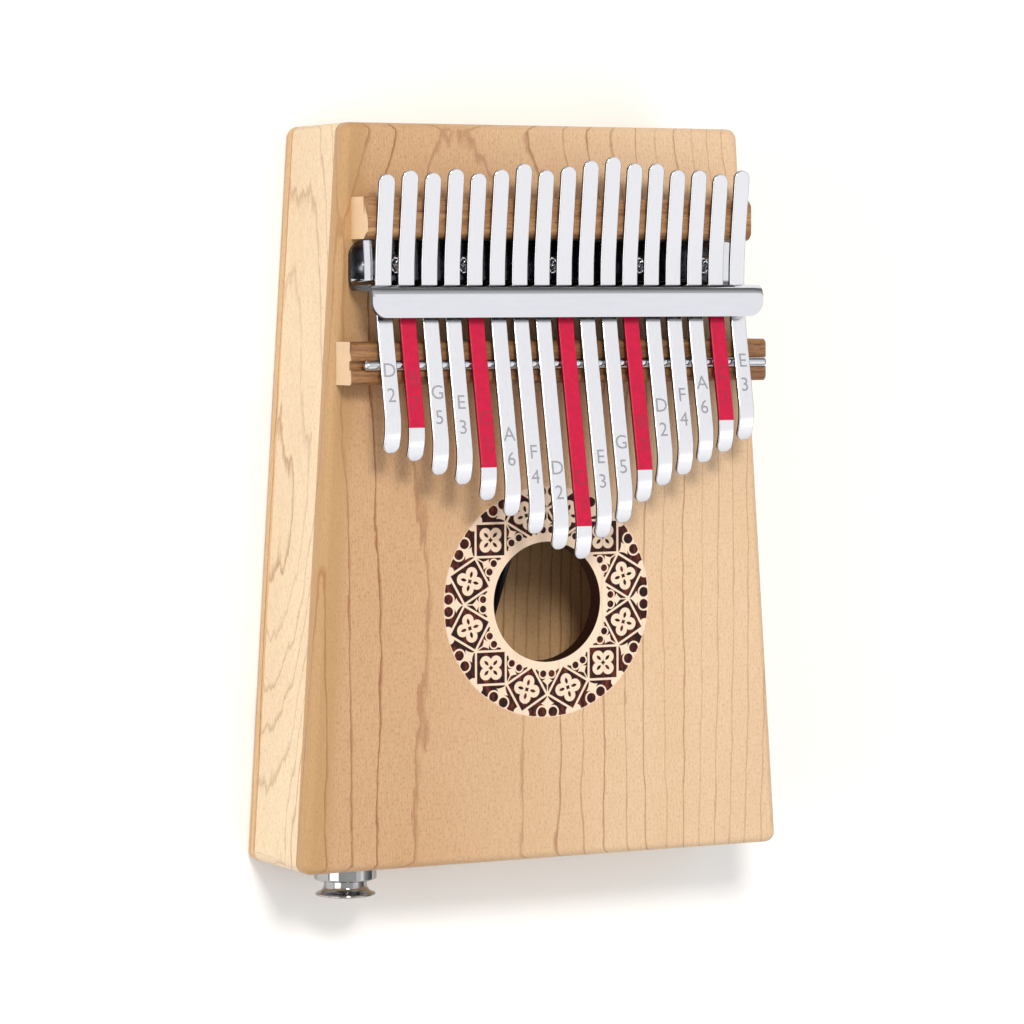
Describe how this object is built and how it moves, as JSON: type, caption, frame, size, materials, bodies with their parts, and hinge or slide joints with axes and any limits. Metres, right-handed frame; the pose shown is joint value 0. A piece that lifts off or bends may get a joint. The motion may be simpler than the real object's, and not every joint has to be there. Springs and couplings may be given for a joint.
{
  "type": "thumb piano",
  "caption": "Thumb piano: tuned steel tines clamped over wooden bridges on a hollow tapered box with a round sound hole and a pickup jack.",
  "frame": {"origin": "centre of the back face, halfway between the head and tail edges", "axes": "+Z rises out of the soundboard, +Y runs to the head end where the tines' tails are, +X is to the right seen from the front with the head up"},
  "size_m": [0.1354, 0.193, 0.055],
  "materials": {
    "maple": "satin lacquered maple",
    "brace_wood": "planed hardwood",
    "bridge_wood": "oiled oak",
    "polished_steel": "polished steel",
    "chrome": "chrome plated",
    "tine_steel": "nickel plated spring steel",
    "tine_steel_red": "nickel plated spring steel, painted red between bracket and tip",
    "black_plastic": "moulded",
    "brass": "bare brass",
    "ceramic": "silvered ceramic",
    "lead_sheath": "matt"
  },
  "bodies": {
    "soundbox": {"top_plate": "maple", "back_plate": "maple", "left_side": "maple", "right_side": "maple", "head_end": "maple", "tail_end": "maple", "screw_block": "brace_wood", "rear_bridge": "bridge_wood", "front_bridge": "bridge_wood", "bridge_rod": "polished_steel", "tine_bracket": "chrome", "bracket_screws": "chrome", "jack_barrel": "chrome", "jack_collar": "chrome", "strap_button": "chrome", "jack_washer": "polished_steel", "jack_nut": "polished_steel", "jack_housing": "black_plastic", "contact_spring": "brass", "solder_lugs": "brass", "piezo_disc": "brass", "piezo_ceramic": "ceramic", "pickup_lead": "lead_sheath"},
    "tine_01_tongue": {"tine_01": "tine_steel"},
    "tine_02_tongue": {"tine_02": "tine_steel_red"},
    "tine_03_tongue": {"tine_03": "tine_steel"},
    "tine_04_tongue": {"tine_04": "tine_steel"},
    "tine_05_tongue": {"tine_05": "tine_steel_red"},
    "tine_06_tongue": {"tine_06": "tine_steel"},
    "tine_07_tongue": {"tine_07": "tine_steel"},
    "tine_08_tongue": {"tine_08": "tine_steel"},
    "tine_09_tongue": {"tine_09": "tine_steel_red"},
    "tine_10_tongue": {"tine_10": "tine_steel"},
    "tine_11_tongue": {"tine_11": "tine_steel"},
    "tine_12_tongue": {"tine_12": "tine_steel_red"},
    "tine_13_tongue": {"tine_13": "tine_steel"},
    "tine_14_tongue": {"tine_14": "tine_steel"},
    "tine_15_tongue": {"tine_15": "tine_steel"},
    "tine_16_tongue": {"tine_16": "tine_steel_red"},
    "tine_17_tongue": {"tine_17": "tine_steel"}
  },
  "joints": [
    {"name": "tine_01_pluck", "type": "hinge", "parent": "soundbox", "child": "tine_01_tongue", "pos_m": [-0.05, 0.0329, 0.04487], "axis": [1, 0, 0], "range_deg": [0, 2.5], "stiffness_Nm_per_rad": 1.5, "springref_deg": -1.15},
    {"name": "tine_02_pluck", "type": "hinge", "parent": "soundbox", "child": "tine_02_tongue", "pos_m": [-0.04375, 0.0329, 0.04487], "axis": [1, 0, 0], "range_deg": [0, 2.5], "stiffness_Nm_per_rad": 1.5, "springref_deg": -1.15},
    {"name": "tine_03_pluck", "type": "hinge", "parent": "soundbox", "child": "tine_03_tongue", "pos_m": [-0.0375, 0.0329, 0.04487], "axis": [1, 0, 0], "range_deg": [0, 2.5], "stiffness_Nm_per_rad": 1.5, "springref_deg": -1.15},
    {"name": "tine_04_pluck", "type": "hinge", "parent": "soundbox", "child": "tine_04_tongue", "pos_m": [-0.03125, 0.0329, 0.04487], "axis": [1, 0, 0], "range_deg": [0, 2.5], "stiffness_Nm_per_rad": 1.5, "springref_deg": -1.15},
    {"name": "tine_05_pluck", "type": "hinge", "parent": "soundbox", "child": "tine_05_tongue", "pos_m": [-0.025, 0.0329, 0.04487], "axis": [1, 0, 0], "range_deg": [0, 2.5], "stiffness_Nm_per_rad": 1.5, "springref_deg": -1.15},
    {"name": "tine_06_pluck", "type": "hinge", "parent": "soundbox", "child": "tine_06_tongue", "pos_m": [-0.01875, 0.0329, 0.04487], "axis": [1, 0, 0], "range_deg": [0, 2.5], "stiffness_Nm_per_rad": 1.5, "springref_deg": -1.15},
    {"name": "tine_07_pluck", "type": "hinge", "parent": "soundbox", "child": "tine_07_tongue", "pos_m": [-0.0125, 0.0329, 0.04487], "axis": [1, 0, 0], "range_deg": [0, 2.5], "stiffness_Nm_per_rad": 1.5, "springref_deg": -1.15},
    {"name": "tine_08_pluck", "type": "hinge", "parent": "soundbox", "child": "tine_08_tongue", "pos_m": [-0.00625, 0.0329, 0.04487], "axis": [1, 0, 0], "range_deg": [0, 2.5], "stiffness_Nm_per_rad": 1.5, "springref_deg": -1.15},
    {"name": "tine_09_pluck", "type": "hinge", "parent": "soundbox", "child": "tine_09_tongue", "pos_m": [0, 0.0329, 0.04487], "axis": [1, 0, 0], "range_deg": [0, 2.5], "stiffness_Nm_per_rad": 1.5, "springref_deg": -1.15},
    {"name": "tine_10_pluck", "type": "hinge", "parent": "soundbox", "child": "tine_10_tongue", "pos_m": [0.00625, 0.0329, 0.04487], "axis": [1, 0, 0], "range_deg": [0, 2.5], "stiffness_Nm_per_rad": 1.5, "springref_deg": -1.15},
    {"name": "tine_11_pluck", "type": "hinge", "parent": "soundbox", "child": "tine_11_tongue", "pos_m": [0.0125, 0.0329, 0.04487], "axis": [1, 0, 0], "range_deg": [0, 2.5], "stiffness_Nm_per_rad": 1.5, "springref_deg": -1.15},
    {"name": "tine_12_pluck", "type": "hinge", "parent": "soundbox", "child": "tine_12_tongue", "pos_m": [0.01875, 0.0329, 0.04487], "axis": [1, 0, 0], "range_deg": [0, 2.5], "stiffness_Nm_per_rad": 1.5, "springref_deg": -1.15},
    {"name": "tine_13_pluck", "type": "hinge", "parent": "soundbox", "child": "tine_13_tongue", "pos_m": [0.025, 0.0329, 0.04487], "axis": [1, 0, 0], "range_deg": [0, 2.5], "stiffness_Nm_per_rad": 1.5, "springref_deg": -1.15},
    {"name": "tine_14_pluck", "type": "hinge", "parent": "soundbox", "child": "tine_14_tongue", "pos_m": [0.03125, 0.0329, 0.04487], "axis": [1, 0, 0], "range_deg": [0, 2.5], "stiffness_Nm_per_rad": 1.5, "springref_deg": -1.15},
    {"name": "tine_15_pluck", "type": "hinge", "parent": "soundbox", "child": "tine_15_tongue", "pos_m": [0.0375, 0.0329, 0.04487], "axis": [1, 0, 0], "range_deg": [0, 2.5], "stiffness_Nm_per_rad": 1.5, "springref_deg": -1.15},
    {"name": "tine_16_pluck", "type": "hinge", "parent": "soundbox", "child": "tine_16_tongue", "pos_m": [0.04375, 0.0329, 0.04487], "axis": [1, 0, 0], "range_deg": [0, 2.5], "stiffness_Nm_per_rad": 1.5, "springref_deg": -1.15},
    {"name": "tine_17_pluck", "type": "hinge", "parent": "soundbox", "child": "tine_17_tongue", "pos_m": [0.05, 0.0329, 0.04487], "axis": [1, 0, 0], "range_deg": [0, 2.5], "stiffness_Nm_per_rad": 1.5, "springref_deg": -1.15}
  ]
}
